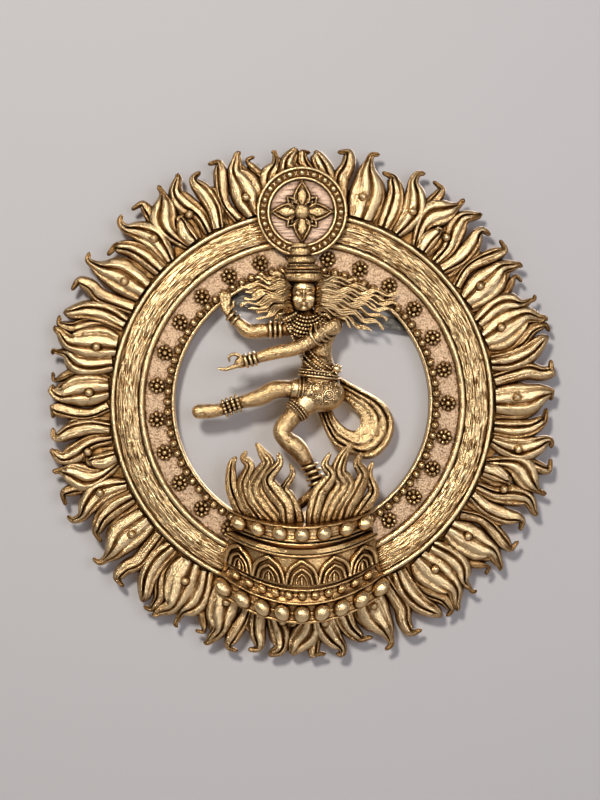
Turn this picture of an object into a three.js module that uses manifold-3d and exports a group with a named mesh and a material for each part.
// A wall-hung brass nataraja: a dancing figure on a lotus pedestal inside a ring of flames.
// Millimetres, +Z up. The wall is the plane y = 0 behind the ring's centre, and the front faces -Y.
import * as THREE from "three";
import { mergeVertices } from "three/addons/utils/BufferGeometryUtils.js";
import Module from "manifold-3d";

const wasm = await Module();
wasm.setup();

// ---------------------------------------------------------------- driving dimensions
const GAP = 0.3; // between pieces that touch

const ring = {
  openingRadius: 102, // the round window that the figure dances in
  lipWidth: 3,
  stippleWidth: 21,
  innerRimWidth: 5.6,
  grainWidth: 18,
  outerRimWidth: 3.6,
  channelDepth: 12, // wall to the front of the hollow-backed casting
  wall: 3,
  segments: 40,
};
const bandThickness = {
  lip: 3.4,
  stipple: 2,
  innerRim: 5.6,
  grain: 4.4,
  grainCrown: 1.5,
  outerRim: 3,
};
const beadWire = { inset: 3, size: 4.6 }; // inset from the lip to its middle
const rosette = { inset: 12, radius: 6.3, height: 3.2, count: 27, firstAngle: 90, sides: 5 };

const flame = {
  segmentCount: 5,
  firstAngle: 12, // clockwise from the top, where the first segment starts
  plateThickness: 3,
  tongueThickness: 4.2,
  underlap: 9, // how far the plate reaches in under the grain band and outer rim
  rootGap: 1.8, // from the outer rim to the roots of the tongues
  length: 50,
  stations: 4,
};
const plateScrew = { shaftRadius: 1.5, headRadius: 3, headHeight: 1.8 }; // holds flames and crossbar
const skin = 1; // metal left in front of a blind screw hole, at the least

const halo = {
  radius: 36,
  overRim: 1.2, // how far its centre lies inside the outer rim's edge
  thickness: 4,
  rimWidth: 2,
  rimHeight: 1.8,
  beadCircle: 31.5,
  beadRadius: 2.4,
  beadCount: 20,
  groove: 0.8, // depth of the floor that the beads stand on
  innerRimRadius: 26.8,
  petalLength: 25,
  petalWidth: 13,
  petalThickness: 3,
  bossRadius: 6.8,
  bossHeight: 2.4,
};
const m4 = { shaftRadius: 2, headRadius: 4, headHeight: 2.6 };

const bar = {
  width: 9,
  thickness: 2.4,
  slope: -8.5,
  centreHeight: 75,
  lap: 16, // how far its ends reach past the lip
  screwLap: 9,
  figureScrewAlong: 6,
};

// The pedestal is a shallow bowed front, drawn as if from a little above: each level is lowest in the
// middle, by its drop.
const pedestal = {
  top: { z: -86.6, drop: 10, halfWidth: 54 },
  upperBeads: { z: -93.2, drop: 10, halfWidth: 54 },
  plateFoot: { z: -98, drop: 11.5, halfWidth: 55 },
  waist: { z: -101, drop: 12.5, halfWidth: 53 },
  rim: { z: -104.7, drop: 15, halfWidth: 59 },
  petalFoot: { z: -125, drop: 17.5, halfWidth: 61 },
  groove: { z: -127, drop: 18, halfWidth: 58 },
  smallBeads: { z: -131.1, drop: 19.6, halfWidth: 59 },
  lowerRim: { z: -136, drop: 20.8, halfWidth: 64 },
  lowerBeads: { z: -142.3, drop: 22.7, halfWidth: 67 },
  foot: { z: -149.7, drop: 22.9, halfWidth: 69 },
  edgeDepth: 6, // how far the ends stand off the ring
  bow: 25, // and how much further the middle comes forward
  wall: 4,
  steps: 10,
};
const stripThickness = 1.2; // the strips that the pedestal's beads stand on
// each bead's outline as [share of its height, share of its radius]
const roundBead = [[0, 1], [0.55, 0.84], [1, 0.35]];
const plainBead = [[0, 1], [1, 0.5]];
const upperBeads = { count: 7, radius: 5.9, spread: 49, sides: 6, stations: roundBead, strip: 2 };
const lowerBeads = { count: 9, radius: 6.4, spread: 61.5, sides: 6, stations: roundBead, strip: 2 };
const smallBeads = { count: 11, radius: 3.6, spread: 51.5, sides: 5, stations: plainBead, strip: 1.5 };
const lotus = { count: 5, spacing: 24.5, width: 21, height: 15, relief: 1.6, stripTop: 3.2, stripFoot: 1 };
const pedestalScrewX = 34;
const pedestalBoss = { radius: 5.5, height: 9 };

// The dancer, as [x, y, z] joints from the ring's centre and the radius of the limb at each.
const figure = {
  trunk: {
    joints: [[4, -17.5, 77], [6, -20, 64], [12, -20, 34], [14, -20, 14]],
    radii: [7, 10, 9.8, 10],
  },
  chest: { at: [9, -20, 58], radii: [21, 9.5, 14] },
  hips: { at: [14, -21.5, 8], radii: [20, 11.5, 15.5] },
  hems: [
    { from: [6, -21.5, 9], to: [-3.5, -22.6, 10.6], radii: [9.6, 9.4] },
    { from: [6, -21.5, 4], to: [-5.5, -23.5, -6.5], radii: [10, 9.2] },
  ],
  belt: { from: [11.5, -20, 27], to: [13.5, -20, 21.5], radii: [12.6, 13.4, 12.8] },
  collar: { at: [5, -20.6, 61.5], radii: [17.5, 12.5, 13], left: -20, right: 24, foot: 50, top: 72 },
  armRaised: {
    joints: [[-6, -20, 58.5], [-43, -23, 57.8], [-56.6, -24, 69.2]],
    radii: [4.6, 4.9, 3.5],
    hand: [[-57.2, -24.1, 70], [-59.4, -24.4, 76.1], [-63.3, -25, 87.5]],
    handRadii: [3.6, 4.4, 1.6],
  },
  armFront: {
    joints: [[25.4, -25, 60.8], [-6, -35, 43.5], [-35, -35, 36]],
    radii: [6, 5.2, 4.2],
    hand: [[-35, -35, 36], [-45, -35, 33], [-51, -35, 31.5], [-65, -35, 27.3]],
    handRadii: [4, 4.2, 3.4, 1.4],
    thumb: [[-49, -35, 36], [-54.5, -35, 37.5], [-57.6, -35, 33.6]],
    thumbRadii: [2.2, 1.7, 1],
  },
  legRaised: {
    joints: [[0, -22, 10.4], [-22.5, -26, 9.8], [-50, -24, 0.3], [-64, -24, -4.5]],
    radii: [7.4, 7, 5.2, 4.8],
    foot: [[-64, -24, -5.4], [-84, -24, -6.8]],
    footRadii: [5.6, 5.6],
  },
  legStanding: {
    joints: [[-1, -22, -2], [-16.5, -29, -22], [2.5, -27, -45], [9.8, -26.5, -58]],
    radii: [7.4, 7.6, 6.6, 5.2],
    foot: [[9.8, -26.5, -58], [15.5, -26, -66], [-0.5, -27.5, -81]],
    footRadii: [5, 4.7, 4.7],
  },
  bandThickness: { armlet: 1.4, bracelet: 1.7, anklet: 2 },
  head: { at: [1.6, -26, 85.5], radii: [10, 9.5, 13.5] },
  // the crown of coiled hair, as [height, radius] from the diadem up
  topknot: {
    foot: [0.5, -27],
    tip: [-2, -27],
    tiers: [
      [92, 12.8],
      [101, 13],
      [102, 11.5],
      [108.5, 10.8],
      [109, 7.8],
      [116, 7.4],
      [117, 6.4],
      [124.6, 5.2],
    ],
  },
  hairThickness: 3,
  sashThickness: 4.5,
};
const hanger = {
  rise: 13.5, // of its hinge axis above the lip
  wireRadius: 1.25,
  loopWidth: 22,
  loopHeight: 10.6,
  lean: 6, // degrees that the loop leans into the channel at rest
  strapWidth: 13,
  strapThickness: 1.2,
  strapLength: 11,
  screwSpacing: 7,
  screwDrop: 7, // from the hinge axis to the screws
  screw: { shaftRadius: 1, headRadius: 2.2, headHeight: 1 },
};

// ---------------------------------------------------------------- depths, from the wall forward
const castFront = -ring.channelDepth;
const plateBack = castFront + ring.wall; // the hidden face of the channel's front plate
const bandBack = castFront - GAP;
const flamePlateFront = bandBack - flame.plateThickness;
const outerRimBack = flamePlateFront - GAP;
const outerRimFront = outerRimBack - bandThickness.outerRim;
const stippleFront = bandBack - bandThickness.stipple;
const beadFront = stippleFront - GAP - beadWire.size;
const overlayBack = Math.min(outerRimFront, beadFront) - GAP; // what lies on top of the ring starts here
const haloFront = overlayBack - halo.thickness;
const plateScrewTip = plateBack - ring.wall + skin;
const flameScrewTip = flamePlateFront + skin + GAP;

// ---------------------------------------------------------------- radii, from the window outward
const lipOuter = ring.openingRadius + ring.lipWidth;
const stippleOuter = lipOuter + ring.stippleWidth;
const innerRimOuter = stippleOuter + ring.innerRimWidth;
const grainOuter = innerRimOuter + ring.grainWidth;
const outerRimOuter = grainOuter + ring.outerRimWidth;
const castOuter = outerRimOuter;
const flamePlateInner = grainOuter - flame.underlap;
const flameRoot = outerRimOuter + flame.rootGap;
const flameTip = flameRoot + flame.length;
const beadCircle = lipOuter + beadWire.inset;
const rosetteCircle = lipOuter + rosette.inset;

// ---------------------------------------------------------------- materials
function metal(color, roughness, name) {
  const made = new THREE.MeshStandardMaterial({ color, roughness, metalness: 1 });
  made.name = name;
  return made;
}
const antiqueBrass = metal("#a58a58", 0.38, "antique_brass");
const groundBrass = metal("#9c7f5c", 0.6, "stippled_brass");
const steel = metal("#8f8f8c", 0.4, "steel");

// ---------------------------------------------------------------- solids and meshes
function solid(geometry) {
  const bare = geometry.clone();
  bare.deleteAttribute("normal");
  bare.deleteAttribute("uv");
  const merged = mergeVertices(bare, 1e-4);
  return new wasm.Manifold(
    new wasm.Mesh({
      numProp: 3,
      vertProperties: merged.attributes.position.array,
      triVerts: new Uint32Array(merged.index.array),
    }),
  );
}

function geometryOf(made) {
  const mesh = made.getMesh();
  const geometry = new THREE.BufferGeometry();
  geometry.setAttribute("position", new THREE.BufferAttribute(mesh.vertProperties, 3));
  geometry.setIndex(new THREE.BufferAttribute(mesh.triVerts, 1));
  geometry.computeVertexNormals();
  return geometry;
}

const outlineOf = (points) => points.map(([x, z]) => new THREE.Vector2(x, z));
const union = (solids) => solids.reduce((all, next) => all.add(next));

const nataraja = new THREE.Group();
function add(name, made, material = antiqueBrass) {
  const mesh = new THREE.Mesh(geometryOf(made), material);
  mesh.name = name;
  nataraja.add(mesh);
}

const radians = THREE.MathUtils.degToRad;
// a point on the face of the ring, from an angle clockwise from the top
const clock = (angle, radius) =>
  new THREE.Vector2(radius * Math.sin(radians(angle)), radius * Math.cos(radians(angle)));

// A closed profile of [radius, y] turned about the Y axis.
function turned(profile, segments = ring.segments) {
  const points = [...profile, profile[0]].map(([radius, y]) => new THREE.Vector2(radius, y));
  return solid(new THREE.LatheGeometry(points, segments));
}

// A round rod from one point to another, its radius given at shares of its length.
function rod(from, to, stations, sides = 10) {
  const length = from.distanceTo(to);
  const points = stations.map(([share, radius]) => new THREE.Vector2(radius, share * length));
  points.unshift(new THREE.Vector2(0, points[0].y));
  points.push(new THREE.Vector2(0, points[points.length - 1].y));
  const geometry = new THREE.LatheGeometry(points, sides);
  const turn = new THREE.Quaternion().setFromUnitVectors(
    new THREE.Vector3(0, 1, 0),
    to.clone().sub(from).normalize(),
  );
  geometry.applyQuaternion(turn);
  geometry.translate(from.x, from.y, from.z);
  return solid(geometry);
}

function ball(centre, radii, across = 12, down = 8) {
  const geometry = new THREE.SphereGeometry(1, across, down);
  geometry.scale(radii.x, radii.y, radii.z);
  geometry.translate(centre.x, centre.y, centre.z);
  return solid(geometry);
}
const at = (x, y, z) => new THREE.Vector3(x, y, z);

// A flat outline in x and z, between two depths.
function slab(points, front, back, holes = []) {
  const shape = new THREE.Shape(points);
  holes.forEach((hole) => shape.holes.push(new THREE.Path(hole)));
  const geometry = new THREE.ExtrudeGeometry(shape, { depth: back - front, bevelEnabled: false });
  geometry.rotateX(Math.PI / 2); // the outline's y becomes z, and the extrusion runs towards -Y
  geometry.translate(0, back, 0);
  return solid(geometry);
}

const pin = (x, z, front, back, radius, sides = 12) =>
  rod(at(x, back, z), at(x, front, z), [[0, radius], [1, radius]], sides);

// ---------------------------------------------------------------- screws, put in from behind
function screw(x, z, headSeat, tip, size) {
  const head = pin(x, z, headSeat, headSeat + size.headHeight, size.headRadius, 6);
  return head.add(pin(x, z, tip, headSeat + 0.5, size.shaftRadius));
}
const screwHole = (x, z, front, back) => pin(x, z, front, back, m4.shaftRadius + GAP);
// a blind hole from behind for the tip of a small screw
const blindHole = (spot, tip, size) =>
  pin(spot.x, spot.y, tip - GAP, 1, size.shaftRadius + GAP, 8);

const boltCircle = (innerRimOuter + flamePlateInner) / 2;
const haloScrewHeight = boltCircle;
const barDirection = new THREE.Vector2(Math.cos(radians(bar.slope)), Math.sin(radians(bar.slope)));
const barPoint = (along) =>
  new THREE.Vector2(along * barDirection.x, bar.centreHeight + along * barDirection.y);
// how far along the bar, to either side, a circle about the ring's centre is met
function barReach(radius, side) {
  const lift = bar.centreHeight * barDirection.y;
  return -lift + side * Math.sqrt(lift * lift + radius * radius - bar.centreHeight ** 2);
}

// ---------------------------------------------------------------- the crossbar behind the figure
function barOutline(grow) {
  const half = bar.width / 2 + grow;
  const across = new THREE.Vector2(-barDirection.y, barDirection.x).multiplyScalar(half);
  const left = barPoint(barReach(lipOuter + bar.lap, -1) - grow);
  const right = barPoint(barReach(lipOuter + bar.lap, 1) + grow);
  return [
    left.clone().sub(across),
    right.clone().sub(across),
    right.clone().add(across),
    left.clone().add(across),
  ];
}
const barFront = plateBack + GAP;
const barBack = barFront + bar.thickness;
const barScrews = [-1, 1].map((side) => barPoint(barReach(lipOuter + bar.screwLap, side)));
const figureScrewAt = barPoint(bar.figureScrewAlong);

// ---------------------------------------------------------------- ring
const pedestalScrewHeight = -Math.sqrt(boltCircle ** 2 - pedestalScrewX ** 2);
const ringHoles = union([
  screwHole(0, haloScrewHeight, overlayBack, 1),
  screwHole(-pedestalScrewX, pedestalScrewHeight, overlayBack, 1),
  screwHole(pedestalScrewX, pedestalScrewHeight, overlayBack, 1),
]);
const flameScrewAngles = Array.from(
  { length: flame.segmentCount },
  (_, k) => flame.firstAngle + (360 / flame.segmentCount) * (k + 0.5),
);
const flameScrewRadius = flamePlateInner + plateScrew.headRadius + 2 * GAP;
const flameScrewHoles = union(
  flameScrewAngles.map((angle) => blindHole(clock(angle, flameScrewRadius), flameScrewTip, plateScrew)),
);

const channel = turned([
  [ring.openingRadius, 0],
  [ring.openingRadius, castFront],
  [castOuter, castFront],
  [castOuter, 0],
  [castOuter - ring.wall, 0],
  [castOuter - ring.wall, plateBack],
  [lipOuter, plateBack],
  [lipOuter, 0],
]);
const barNotches = slab(barOutline(GAP), plateBack, 1);
const barScrewHoles = union(barScrews.map((spot) => blindHole(spot, plateScrewTip, plateScrew)));
const hangerHeight = lipOuter + hanger.rise;
const hangerScrews = [-1, 1].map(
  (side) => new THREE.Vector2((side * hanger.screwSpacing) / 2, hangerHeight - hanger.screwDrop),
);
const hangerScrewHoles = union(hangerScrews.map((spot) => blindHole(spot, plateScrewTip, hanger.screw)));
add(
  "ring_casting",
  channel
    .subtract(ringHoles)
    .subtract(flameScrewHoles)
    .subtract(barNotches)
    .subtract(barScrewHoles)
    .subtract(hangerScrewHoles),
);

const lipTop = bandBack - bandThickness.lip;
add(
  "inner_lip",
  turned([
    [ring.openingRadius, bandBack],
    [ring.openingRadius + 0.6, lipTop],
    [lipOuter - GAP - 0.6, lipTop],
    [lipOuter - GAP, bandBack],
  ]),
);
add(
  "stippled_band",
  turned([
    [lipOuter, bandBack],
    [lipOuter, stippleFront],
    [stippleOuter - GAP, stippleFront],
    [stippleOuter - GAP, bandBack],
  ]),
  groundBrass,
);

// a half-round rim between two radii
function rim(inner, outer, back, height) {
  const middle = (inner + outer) / 2;
  const half = (outer - inner) / 2;
  const steps = 3;
  const arc = Array.from({ length: steps + 1 }, (_, i) => {
    const turn = (Math.PI * i) / steps;
    return [middle - half * Math.cos(turn), back - height * (0.35 + 0.65 * Math.sin(turn))];
  });
  return turned([[inner, back], ...arc, [outer, back]]);
}
add("inner_rim", rim(stippleOuter, innerRimOuter - GAP, bandBack, bandThickness.innerRim));
add("outer_rim", rim(grainOuter, outerRimOuter, outerRimBack, bandThickness.outerRim));

const grainEdge = bandBack - bandThickness.grain;
const grainCrown = grainEdge - bandThickness.grainCrown;
add(
  "grain_band",
  turned([
    [innerRimOuter, bandBack],
    [innerRimOuter, grainEdge],
    [(innerRimOuter + grainOuter) / 2, grainCrown],
    [grainOuter - GAP, grainEdge],
    [grainOuter - GAP, outerRimBack],
    [flamePlateInner - GAP, outerRimBack],
    [flamePlateInner - GAP, bandBack],
  ]).subtract(ringHoles),
);

// ---------------------------------------------------------------- beading and rosettes
const beadHalf = beadWire.size / 2;
add(
  "bead_wire",
  turned(
    [0, 1, 2, 3].map((i) => [
      beadCircle + beadHalf * Math.cos((Math.PI / 2) * i),
      stippleFront - GAP - beadHalf + beadHalf * Math.sin((Math.PI / 2) * i),
    ]),
  ),
);

function rosettes() {
  const back = stippleFront - GAP;
  const tapeHalf = rosette.radius / 4;
  const tape = turned([
    [rosetteCircle - tapeHalf, back],
    [rosetteCircle, back - tapeHalf / 2],
    [rosetteCircle + tapeHalf, back],
  ]);
  const flowers = Array.from({ length: rosette.count }, (_, k) => {
    const spot = clock(rosette.firstAngle + (360 / rosette.count) * k, rosetteCircle);
    const foot = at(spot.x, back, spot.y);
    const tip = at(spot.x, back - rosette.height, spot.y);
    const { radius } = rosette;
    return rod(foot, tip, [[0, radius], [1, radius / 2]], rosette.sides);
  });
  return union([tape, ...flowers]);
}
add("rosette_garland", rosettes());

// ---------------------------------------------------------------- flames
// One fifth of the ring of flames. Each tongue: its line from root to tip as [degrees into the segment,
// share of the way from root radius to tip radius], then its widths along that line.
const TONGUES = [
  { line: [[5.9, 0], [5.2, 0.39], [3.6, 0.74], [5.2, 1]], widths: [15, 20, 9, 2] },
  { line: [[13.3, 0], [13.1, 0.39], [11.5, 0.68], [7.7, 0.76]], widths: [12, 14, 10, 2] },
  { line: [[17, 0], [17.3, 0.42], [15.5, 0.74], [15.9, 1]], widths: [11, 17, 9, 2] },
  { line: [[23.2, 0], [22.9, 0.5], [25.6, 0.84], [26, 1.05]], widths: [11, 16, 7, 2] },
  { line: [[31.2, 0], [30.7, 0.39], [29.1, 0.71], [31.2, 1]], widths: [10, 15, 11, 2] },
  { line: [[34.7, 0], [35.5, 0.36], [34.1, 0.68], [36.3, 0.89]], widths: [11, 9, 9, 2] },
  { line: [[41, 0], [39.7, 0.3], [41.3, 0.77], [38.8, 0.94]], widths: [9, 7, 8, 2] },
  { line: [[46.4, 0], [45.9, 0.39], [43.7, 0.71], [46, 0.98]], widths: [14, 20, 10, 2] },
  { line: [[53.3, 0], [52.5, 0.45], [53.9, 0.74], [53.2, 0.93]], widths: [16, 15, 6, 2] },
  { line: [[59.7, 0], [58.7, 0.39], [57.1, 0.74], [59.2, 1]], widths: [15, 21, 11, 2] },
  { line: [[66.1, 0], [65.9, 0.42], [64.3, 0.74], [63, 0.93]], widths: [12, 14, 11, 5] },
  { line: [[70.4, 0], [69.9, 0.45], [70.6, 0.74], [68.5, 0.93]], widths: [8, 9, 8, 2] },
];

// The outline of a tongue that follows a line of points with a width at each.
function tongueOutline(line, widths, stations) {
  const spine = new THREE.SplineCurve(line);
  const left = [];
  const right = [];
  for (let i = 0; i <= stations; i++) {
    const t = i / stations;
    const centre = spine.getPoint(t);
    const along = spine.getTangent(t);
    const place = t * (widths.length - 1);
    const k = Math.min(Math.floor(place), widths.length - 2);
    const half = THREE.MathUtils.lerp(widths[k], widths[k + 1], place - k) / 2;
    left.push(new THREE.Vector2(centre.x - along.y * half, centre.y + along.x * half));
    right.push(new THREE.Vector2(centre.x + along.y * half, centre.y - along.x * half));
  }
  return [...right, ...left.reverse()];
}

// A wedge of the whole plaque between two clock angles, cut to leave a seam.
function wedge(from, to) {
  const middle = (from + to) / 2;
  const reach = flameTip * 1.5;
  const seam = GAP / 2 / Math.sin(radians((to - from) / 2));
  const apex = clock(middle, seam);
  const corners = [from, middle, to].map((angle) => clock(angle, reach).add(apex));
  return slab([apex, ...corners], bandBack - 2 * flame.tongueThickness, bandBack + 1);
}

function flameSegment(k) {
  const span = 360 / flame.segmentCount;
  const start = flame.firstAngle + span * k;
  const plate = turned([
    [flamePlateInner, bandBack],
    [flamePlateInner, flamePlateFront],
    [flameRoot + flame.rootGap, flamePlateFront],
    [flameRoot + flame.rootGap, bandBack],
  ]);
  const tongues = TONGUES.map(({ line, widths }) => {
    const points = line.map(([degrees, share]) =>
      clock(start + degrees, flameRoot + share * flame.length),
    );
    const root = clock(start + line[0][0], outerRimOuter + 2 * GAP);
    const outline = tongueOutline([root, ...points.slice(1)], widths, flame.stations);
    return slab(outline, bandBack - flame.tongueThickness, bandBack);
  });
  const rimSeat = turned([
    [flamePlateInner - 5, flamePlateFront],
    [flamePlateInner - 5, flamePlateFront - 10],
    [outerRimOuter + GAP, flamePlateFront - 10],
    [outerRimOuter + GAP, flamePlateFront],
  ]);
  return union([plate, ...tongues])
    .subtract(rimSeat)
    .intersect(wedge(start, start + span))
    .subtract(flameScrewHoles);
}
for (let k = 0; k < flame.segmentCount; k++) {
  add(`flame_segment_${k + 1}`, flameSegment(k));
}
flameScrewAngles.forEach((angle, k) => {
  const spot = clock(angle, flameScrewRadius);
  add(`flame_screw_${k + 1}`, screw(spot.x, spot.y, plateBack + GAP, flameScrewTip, plateScrew), steel);
});

// ---------------------------------------------------------------- halo, on the ring at the top
const haloCentre = new THREE.Vector2(0, outerRimOuter - halo.overRim);
// a profile of [radius, y] turned about the halo's own centre
function haloTurned(profile, segments = 24) {
  return turned(profile, segments).translate(haloCentre.x, 0, haloCentre.y);
}
const haloScrewTip = haloFront + skin + GAP;
const haloHole = screwHole(0, haloScrewHeight, haloScrewTip - GAP, 1);
add(
  "halo_disc",
  haloTurned([
    [0.01, overlayBack],
    [0.01, haloFront],
    [halo.radius, haloFront],
    [halo.radius, overlayBack],
  ]).subtract(haloHole),
);
function haloBeading() {
  const back = haloFront - GAP;
  const front = back - halo.rimHeight;
  const floor = back - halo.groove;
  const half = halo.rimWidth / 2;
  const rims = haloTurned([
    [halo.innerRimRadius - half, back],
    [halo.innerRimRadius - half, front],
    [halo.innerRimRadius + half, front],
    [halo.innerRimRadius + half, floor],
    [halo.radius - halo.rimWidth, floor],
    [halo.radius - halo.rimWidth, front],
    [halo.radius, front],
    [halo.radius, back],
  ]);
  const beads = Array.from({ length: halo.beadCount }, (_, k) => {
    const spot = clock((360 / halo.beadCount) * k, halo.beadCircle).add(haloCentre);
    const size = halo.beadRadius;
    return rod(at(spot.x, back, spot.y), at(spot.x, back - size, spot.y), [[0, size], [1, size * 0.6]], 5);
  });
  return union([rims, ...beads]);
}
add("halo_beading", haloBeading());

function haloPetals() {
  const back = haloFront - GAP;
  const half = halo.petalWidth / 2;
  const petal = [
    [0, 3],
    [half, halo.petalLength * 0.5],
    [half * 0.62, halo.petalLength * 0.7],
    [0, halo.petalLength],
    [-half * 0.62, halo.petalLength * 0.7],
    [-half, halo.petalLength * 0.5],
  ];
  const petals = [0, 90, 180, 270].map((angle) => {
    const turn = radians(-angle);
    const outline = petal.map(([x, y]) =>
      new THREE.Vector2(x, y).rotateAround(new THREE.Vector2(), turn).add(haloCentre),
    );
    return slab(outline, back - halo.petalThickness, back);
  });
  const boss = haloTurned([
    [0.01, back],
    [0.01, back - halo.petalThickness - halo.bossHeight],
    [halo.bossRadius * 0.6, back - halo.petalThickness - halo.bossHeight * 0.7],
    [halo.bossRadius, back - halo.petalThickness * 0.7],
    [halo.bossRadius, back],
  ], 16);
  return union([boss, ...petals]);
}
add("halo_petals", haloPetals());
add("halo_screw", screw(0, haloScrewHeight, plateBack + GAP, haloScrewTip, m4), steel);

// ---------------------------------------------------------------- pedestal
const blend = THREE.MathUtils.lerp;
// A point on the bow: a level, x as a share of its half width, and a distance off the face.
function onPedestal(level, share, off) {
  const swell = 1 - share * share;
  return at(
    (level.halfWidth + off) * share,
    overlayBack - pedestal.edgeDepth - pedestal.bow * swell - off,
    level.z - level.drop * swell,
  );
}
// A stack of levels as a solid: from the ring (or from a distance off the face) out to the face plus off.
function drum(levels, { back = null, off = 0, ends = 1 } = {}) {
  const geometry = new THREE.BoxGeometry(2, 1, levels.length - 1, pedestal.steps, 1, levels.length - 1);
  const place = geometry.attributes.position;
  for (let i = 0; i < place.count; i++) {
    const level = levels[Math.round((levels.length - 1) / 2 - place.getZ(i))];
    const share = place.getX(i) * ends;
    const atFront = place.getY(i) < 0;
    const point = onPedestal(level, share, atFront || back === null ? off : back);
    if (!atFront && back === null) {
      point.y = overlayBack;
      point.z = level.z;
    }
    place.setXYZ(i, point.x, point.y, point.z);
  }
  return solid(geometry);
}
const between = (a, b, share) => ({
  z: blend(a.z, b.z, share),
  drop: blend(a.drop, b.drop, share),
  halfWidth: blend(a.halfWidth, b.halfWidth, share),
});
const lowered = (level, by) => ({ ...level, z: level.z - by });
// a hollow-backed casting: the drum less a smaller drum that opens towards the ring
function hollowDrum(levels) {
  const { wall } = pedestal;
  const inside = [lowered(levels[0], wall), lowered(levels[levels.length - 1], -wall)];
  const cavity = drum(inside, { off: -wall });
  const opening = cavity.translate(0, 1, 0);
  return drum(levels).subtract(cavity).subtract(opening);
}
const pedestalScrewTip = overlayBack - pedestalBoss.height + 2 * skin + GAP;
const pedestalBosses = union(
  [-pedestalScrewX, pedestalScrewX].map((x) =>
    pin(x, pedestalScrewHeight, overlayBack - pedestalBoss.height, overlayBack, pedestalBoss.radius, 10),
  ),
);
const pedestalScrewHoles = union(
  [-pedestalScrewX, pedestalScrewX].map((x) =>
    screwHole(x, pedestalScrewHeight, pedestalScrewTip - GAP, 1),
  ),
);
const p = pedestal;
add("pedestal_plate", hollowDrum([p.top, p.plateFoot]));
const bodyTop = lowered(p.plateFoot, GAP);
const bodyLevels = [bodyTop, p.waist, p.rim, p.petalFoot];
add("pedestal_body", hollowDrum(bodyLevels).subtract(drum([p.top, bodyTop])));
const apronTop = lowered(p.petalFoot, GAP);
const apronLevels = [apronTop, p.groove, p.smallBeads, p.lowerRim, p.foot];
add(
  "pedestal_apron",
  hollowDrum(apronLevels)
    .add(pedestalBosses)
    .subtract(drum([p.rim, apronTop]))
    .subtract(pedestalScrewHoles),
);
[-1, 1].forEach((side, k) => {
  const x = side * pedestalScrewX;
  const made = screw(x, pedestalScrewHeight, plateBack + GAP, pedestalScrewTip, m4);
  add(`pedestal_screw_${k + 1}`, made, steel);
});

// a row of beads standing on a narrow strip
function beadRow(level, beads) {
  const back = GAP;
  const off = GAP + stripThickness;
  const strip = drum([lowered(level, -beads.strip), lowered(level, beads.strip)], {
    back,
    off,
    ends: (beads.spread + beads.radius * 0.5) / level.halfWidth,
  });
  const row = Array.from({ length: beads.count }, (_, k) => {
    const share = (beads.spread / level.halfWidth) * ((2 * k) / (beads.count - 1) - 1);
    const foot = onPedestal(level, share, back + stripThickness / 3);
    const slope = (2 * share * pedestal.bow) / level.halfWidth;
    const outward = at(slope, -1, 0).normalize();
    const tip = foot.clone().addScaledVector(outward, beads.radius);
    const { radius } = beads;
    return rod(foot, tip, beads.stations.map(([share, size]) => [share, size * radius]), beads.sides);
  });
  return union([strip, ...row]);
}
const topClearance = drum([p.top, p.plateFoot], { off: GAP });
const apronClearance = drum(apronLevels, { off: GAP });
add("upper_beads", beadRow(p.upperBeads, upperBeads).subtract(topClearance));
add("small_beads", beadRow(p.smallBeads, smallBeads).subtract(apronClearance));
add("lower_beads", beadRow(p.lowerBeads, lowerBeads).subtract(apronClearance));

// the lotus petals: pointed arches in relief round the waist, on a strip along their feet
function lotusPetals() {
  const top = p.rim;
  const foot = p.petalFoot;
  const height = top.z - foot.z;
  const strip = drum([lowered(foot, -lotus.stripTop), lowered(foot, -lotus.stripFoot)], {
    back: GAP,
    off: GAP + lotus.relief * 0.6,
    ends: 0.98,
  });
  const petals = Array.from({ length: lotus.count }, (_, k) => {
    const centre = lotus.spacing * (k - (lotus.count - 1) / 2);
    const half = lotus.width / 2;
    const { height: rise } = lotus;
    const arch = [
      [-half, 0],
      [-half * 0.35, 0],
      [0, rise * 0.5],
      [half * 0.35, 0],
      [half, 0],
      [half * 0.92, rise * 0.5],
      [0, rise],
      [-half * 0.92, rise * 0.5],
    ].map(([x, z]) => new THREE.Vector2(x, z));
    const geometry = new THREE.ExtrudeGeometry(new THREE.Shape(arch), {
      depth: 1,
      bevelEnabled: false,
    });
    const place = geometry.attributes.position;
    for (let i = 0; i < place.count; i++) {
      const level = between(foot, top, (place.getY(i) + lotus.stripFoot) / height);
      const share = (centre + place.getX(i)) / level.halfWidth;
      const off = GAP + (place.getZ(i) > 0.5 ? lotus.relief : 0);
      const point = onPedestal(level, THREE.MathUtils.clamp(share, -0.99, 0.99), off);
      place.setXYZ(i, point.x, point.y, point.z);
    }
    return solid(geometry);
  });
  return union([strip, ...petals]).subtract(drum(bodyLevels, { off: GAP }));
}
add("lotus_petals", lotusPetals());

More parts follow.
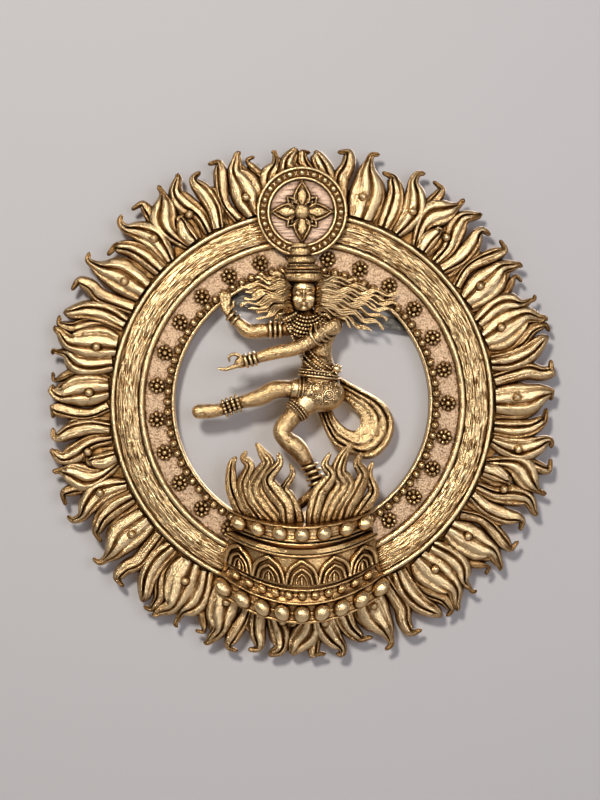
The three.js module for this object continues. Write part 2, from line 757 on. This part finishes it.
// ---------------------------------------------------------------- flames on the pedestal
// each tongue: its line from foot to tip as [x, z], and its widths along that line
const PEDESTAL_FLAMES = {
  left: [
    { line: [[-31, -96], [-49, -74], [-54, -58], [-50, -43]], widths: [9, 9, 8, 2] },
    { line: [[-26, -96], [-42, -72], [-44, -54], [-42, -37.5]], widths: [9, 11, 9, 2] },
    { line: [[-17, -96], [-33, -70], [-27, -48], [-37, -31.5]], widths: [10, 12, 9, 2] },
    { line: [[-9, -96], [-22, -74], [-15, -56], [-18.5, -39.5]], widths: [14, 13, 8, 2] },
    { line: [[-9, -96], [-10, -78], [-3.5, -60], [-10, -48.5]], widths: [14, 8, 6, 2] },
  ],
  right: [
    { line: [[10, -96], [12, -76], [27, -58], [22.5, -39.5]], widths: [16, 14, 9, 2] },
    { line: [[22, -96], [32, -74], [31, -50], [40.5, -32]], widths: [12, 12, 10, 2] },
    { line: [[28, -96], [42, -76], [41, -56], [47, -38.5]], widths: [11, 11, 7, 2] },
    { line: [[34, -96], [49, -80], [49, -62], [55.5, -47.5]], widths: [11, 9, 7, 2] },
  ],
};
const plateClearance = drum([lowered(p.top, -GAP), lowered(p.plateFoot, 20)]);
const fireBed = { share: 0.62, thickness: 4.4, stations: 5 }; // share of the way from ring to bow
// how far in front of the wall the pedestal's fire stands, at a distance from the middle
function fireDepth(x) {
  const share = x / p.top.halfWidth;
  return overlayBack - fireBed.share * (p.edgeDepth + p.bow * Math.max(0, 1 - share * share));
}
function pedestalFire(tongues) {
  const flat = union(
    tongues.map(({ line, widths }) => {
      const outline = tongueOutline(outlineOf(line), widths, fireBed.stations);
      return slab(outline, -fireBed.thickness / 2, fireBed.thickness / 2);
    }),
  );
  const mesh = flat.getMesh();
  const vertices = mesh.vertProperties.slice();
  for (let i = 0; i < vertices.length; i += 3) vertices[i + 1] += fireDepth(vertices[i]);
  const bent = new wasm.Manifold(
    new wasm.Mesh({ numProp: 3, vertProperties: vertices, triVerts: mesh.triVerts }),
  );
  return bent.subtract(plateClearance);
}

// ---------------------------------------------------------------- the dancer
const vector = ([x, y, z]) => new THREE.Vector3(x, y, z);

// A limb through its joints: one tapered surface swept along a smooth curve, grown all round by an amount.
function limb(joints, radii, grow = 0, sides = 8, stepsPerJoint = 3) {
  const curve = new THREE.CatmullRomCurve3(joints.map(vector), false, "centripetal");
  const spans = joints.length - 1;
  const steps = spans * stepsPerJoint;
  const geometry = new THREE.CylinderGeometry(1, 1, 1, sides, steps);
  const place = geometry.attributes.position;
  for (let i = 0; i < place.count; i++) {
    const share = THREE.MathUtils.clamp(place.getY(i) + 0.5, 0, 1);
    const tangent = curve.getTangent(share);
    const centre = curve.getPoint(share);
    if (share === 0) centre.addScaledVector(tangent, -grow);
    if (share === 1) centre.addScaledVector(tangent, grow);
    const side = new THREE.Vector3().crossVectors(tangent, at(0, 1, 0)).normalize();
    const out = new THREE.Vector3().crossVectors(side, tangent);
    const k = Math.min(Math.floor(share * spans), spans - 1);
    const radius = blend(radii[k], radii[k + 1], share * spans - k) + grow;
    centre.addScaledVector(side, radius * place.getX(i)).addScaledVector(out, radius * place.getZ(i));
    place.setXYZ(i, centre.x, centre.y, centre.z);
  }
  return solid(geometry);
}
const swell = (radii, grow) => at(...radii.map((radius) => radius + grow));

function torso(grow = 0) {
  const { trunk, chest } = figure;
  return limb(trunk.joints, trunk.radii, grow).add(ball(vector(chest.at), swell(chest.radii, grow), 10, 8));
}
function dhoti(grow = 0) {
  const { hips, hems } = figure;
  const hemSolids = hems.map(({ from, to, radii: [first, last] }) =>
    rod(vector(from), vector(to), [[0, first + grow], [1, last + grow]]),
  );
  return union([ball(vector(hips.at), swell(hips.radii, grow), 12, 8), ...hemSolids]);
}
function head(grow = 0) {
  return ball(vector(figure.head.at), swell(figure.head.radii, grow), 12, 10);
}
function topknot(grow = 0) {
  const { foot, tip, tiers } = figure.topknot;
  const low = tiers[0][0] - grow;
  const high = tiers[tiers.length - 1][0] + grow;
  const stations = tiers.map(([z, radius], i) => {
    const share = i === 0 ? 0 : (z - low) / (high - low);
    return [i === tiers.length - 1 ? 1 : share, radius + grow];
  });
  return rod(at(foot[0], foot[1], low), at(tip[0], tip[1], high), stations, 10);
}
function armRaised(grow = 0) {
  const { joints, radii, hand, handRadii } = figure.armRaised;
  return limb(joints, radii, grow).add(limb(hand, handRadii, grow, 7));
}
function armFront(grow = 0) {
  const { joints, radii, hand, handRadii, thumb, thumbRadii } = figure.armFront;
  return union([
    limb(joints, radii, grow),
    limb(hand, handRadii, grow, 7),
    limb(thumb, thumbRadii, grow, 6),
  ]);
}
function leg({ joints, radii, foot, footRadii }, grow) {
  return limb(joints, radii, grow).add(limb(foot, footRadii, grow));
}
const legRaised = (grow = 0) => leg(figure.legRaised, grow);
const legStanding = (grow = 0) => leg(figure.legStanding, grow);
// a ring round a limb: from and to are shares of the way between two joints
function band(joints, radii, from, to, thickness) {
  const [a, b] = joints.map(vector);
  const start = a.clone().lerp(b, from);
  const end = a.clone().lerp(b, to);
  const [first, last] = [blend(radii[0], radii[1], from), blend(radii[0], radii[1], to)];
  const crown = Math.max(first, last) + thickness;
  return rod(start, end, [[0, first + thickness / 2], [0.5, crown], [1, last + thickness / 2]], 8);
}
const fit = (piece, ...neighbours) => neighbours.reduce((left, other) => left.subtract(other(GAP)), piece);

const haloClear = haloFront - Math.max(halo.rimHeight, halo.beadRadius) - 2 * GAP;
const haloClearance = haloTurned([
  [0.01, 0],
  [0.01, haloClear],
  [halo.radius + GAP, haloClear],
  [halo.radius + GAP, 0],
]);
const ringClearance = turned([
  [ring.openingRadius - GAP, 1],
  [ring.openingRadius - GAP, overlayBack],
  [outerRimOuter, overlayBack],
  [outerRimOuter, 1],
]);
const barClearance = slab(barOutline(GAP), barFront - GAP, 1);
const figureScrewTip = figure.chest.at[1] - 1;
const figureScrewHole = blindHole(figureScrewAt, figureScrewTip, m4);

add("torso", torso().subtract(barClearance).subtract(figureScrewHole));
add("dhoti", fit(dhoti(), torso));
add("head", fit(head(), torso));
add("topknot", fit(topknot(), head).subtract(haloClearance).subtract(ringClearance));
add("arm_raised", fit(armRaised(), torso));
add("arm_front", fit(armFront(), torso));
add("leg_raised", fit(legRaised(), torso, dhoti));
add("leg_standing", fit(legStanding(), torso, dhoti, legRaised).subtract(plateClearance));

const { armRaised: ar, armFront: af, legRaised: lr, legStanding: ls } = figure;
const { armlet, bracelet, anklet } = figure.bandThickness;
// on the k-th span of a limb, between two shares of it
const bandOn = (joints, radii, k, from, to, thickness) =>
  band([joints[k], joints[k + 1]], [radii[k], radii[k + 1]], from, to, thickness);
const armletRaised = (grow = 0) => bandOn(ar.joints, ar.radii, 0, 0.3, 0.56, armlet + grow);
const armletFront = (grow = 0) => bandOn(af.joints, af.radii, 0, 0.16, 0.34, armlet + grow);
add("armlet_raised", fit(armletRaised(), armRaised, torso));
add("bracelet_raised", fit(bandOn(ar.joints, ar.radii, 1, 0.72, 1.02, bracelet), armRaised));
add("armlet_front", fit(armletFront(), armFront, torso));
add("bracelet_front", fit(bandOn(af.hand, af.handRadii, 0, 0.15, 0.95, bracelet), armFront));
add("anklet_raised", fit(bandOn(lr.joints, lr.radii, 2, 0.05, 0.95, anklet), legRaised));
add("anklet_standing", fit(bandOn(ls.joints, ls.radii, 2, 0.3, 1.1, anklet), legStanding));

// the beaded collar lies on the chest, and the belt goes round the waist
function collar(grow = 0) {
  const { at: centre, radii, left, right, foot, top } = figure.collar;
  const outline = outlineOf([[left, foot], [right, foot], [right, top], [left, top]]);
  const half = slab(outline, centre[1] - 2 * radii[1], centre[1] - GAP + grow);
  return ball(vector(centre), swell(radii, grow), 10, 6).intersect(half);
}
// the armlets reach a little further along the arm than the collar may
const armletClearance = (grow) => {
  const armletWidth = 0.02;
  const left = bandOn(ar.joints, ar.radii, 0, 0.3 - armletWidth, 0.56 + armletWidth, armlet + 2 * grow);
  const right = bandOn(af.joints, af.radii, 0, 0.16 - armletWidth, 0.34 + armletWidth, armlet + 2 * grow);
  return left.add(right);
};
add("collar", fit(collar(), torso, head, armRaised, armFront, armletClearance));
const { from: beltTop, to: beltFoot, radii: beltRadii } = figure.belt;
const beltBand = rod(vector(beltTop), vector(beltFoot), beltRadii.map((radius, i) => [i / 2, radius]), 12);
add("belt", fit(beltBand, torso, dhoti));

// hair: a fan of locks on each side of the head, each side one piece
const HAIR = {
  right: [
    [8, 97], [20, 100], [40, 100.5], [36, 96], [57, 92], [52, 89], [77, 87], [56, 82], [77.5, 78],
    [62, 75], [78, 71.5], [58, 68], [66, 60], [50, 62], [54, 56.5], [34, 63], [26, 66], [8, 76],
  ],
  left: [
    [-6, 97], [-10, 108], [-18, 103], [-30, 100], [-49, 94], [-38, 88], [-44, 82], [-49, 77],
    [-36, 73], [-35, 66.5], [-24, 67.5], [-16, 66.5], [-6, 76],
  ],
};
function hair(side) {
  const outline = outlineOf(HAIR[side]);
  const turning = side === "left" ? outline : outline.reverse();
  return slab(turning, overlayBack - figure.hairThickness, overlayBack);
}
for (const side of ["left", "right"]) {
  add(`hair_${side}`, fit(hair(side), head, torso, topknot, collar, armRaised, armFront));
}

// the sash: a ribbon that flies off the right hip, loops and comes back under it
const SASH = {
  outer: [
    [30, 21], [45.8, 12.2], [60, 4.4], [68.7, -3.4], [73.2, -14.2], [73, -24.8], [68.7, -34.2], [60, -42.7],
    [51, -45], [40, -42], [29.4, -37.6], [23, -31.2], [17.3, -20], [12.2, -6],
  ],
  hole: [[33, 1.5], [42.2, -5.6], [46.4, -14.2], [43, -22], [36.6, -20.6], [30, -15.6], [24.5, -7.5]],
};
const sashBack = bandBack - 1;
add("sash", fit(
  slab(outlineOf(SASH.outer).reverse(), sashBack - figure.sashThickness, sashBack, [outlineOf(SASH.hole)]),
  torso,
  dhoti,
));

add("pedestal_fire_left", fit(pedestalFire(PEDESTAL_FLAMES.left), legStanding));
add("pedestal_fire_right", fit(pedestalFire(PEDESTAL_FLAMES.right), legStanding));

// ---------------------------------------------------------------- crossbar that carries the dancer
add(
  "crossbar",
  slab(barOutline(0), barFront, barBack)
    .subtract(union(barScrews.map((spot) => blindHole(spot, plateScrewTip, plateScrew))))
    .subtract(figureScrewHole),
  steel,
);
barScrews.forEach((spot, k) => {
  add(`crossbar_screw_${k + 1}`, screw(spot.x, spot.y, barBack + GAP, plateScrewTip, plateScrew), steel);
});
add("figure_screw", screw(figureScrewAt.x, figureScrewAt.y, barBack + GAP, figureScrewTip, m4), steel);

// ---------------------------------------------------------------- hanging loop at the top of the back
const knuckleRadius = hanger.wireRadius + GAP + hanger.strapThickness;
const hingeAt = at(0, plateBack + GAP + knuckleRadius, hangerHeight);
function alongX(from, to, radius, y, z, sides = 12) {
  return rod(at(from, y, z), at(to, y, z), [[0, radius], [1, radius]], sides);
}
function strap() {
  const half = hanger.strapWidth / 2;
  const back = plateBack + GAP;
  const foot = hingeAt.z - hanger.strapLength;
  const outline = outlineOf([[-half, foot], [half, foot], [half, hingeAt.z], [-half, hingeAt.z]]);
  const tab = slab(outline, back, back + hanger.strapThickness);
  const knuckle = alongX(-half, half, knuckleRadius, hingeAt.y, hingeAt.z);
  const bore = alongX(-half - 1, half + 1, hanger.wireRadius + GAP, hingeAt.y, hingeAt.z);
  const holes = union(
    hangerScrews.map(({ x, y }) => pin(x, y, back - 1, 0, hanger.screw.shaftRadius + GAP, 8)),
  );
  return tab.add(knuckle).subtract(bore).subtract(holes);
}
add("hanger_strap", strap(), steel);
hangerScrews.forEach(({ x, y }, k) => {
  const seat = plateBack + GAP + hanger.strapThickness + GAP;
  add(`hanger_screw_${k + 1}`, screw(x, y, seat, plateScrewTip, hanger.screw), steel);
});
// the wire's corners: up one side, across the top and down the other
function hangerLoop() {
  const half = hanger.loopWidth / 2;
  const rise = hanger.loopHeight;
  const side = [[half, 0], [half, rise * 0.45], [half * 0.55, rise]];
  const corners = [...side.map(([x, z]) => [-x, z]), ...side.reverse()];
  const tilt = radians(hanger.lean);
  const wire = corners.map(([x, z]) => [
    x,
    hingeAt.y - z * Math.sin(tilt),
    hingeAt.z + z * Math.cos(tilt),
  ]);
  const radii = wire.map(() => hanger.wireRadius);
  const pivot = alongX(-half, half, hanger.wireRadius, hingeAt.y, hingeAt.z, 8);
  return limb(wire, radii).add(pivot);
}
add("hanger_loop", hangerLoop(), steel);

export default nataraja;
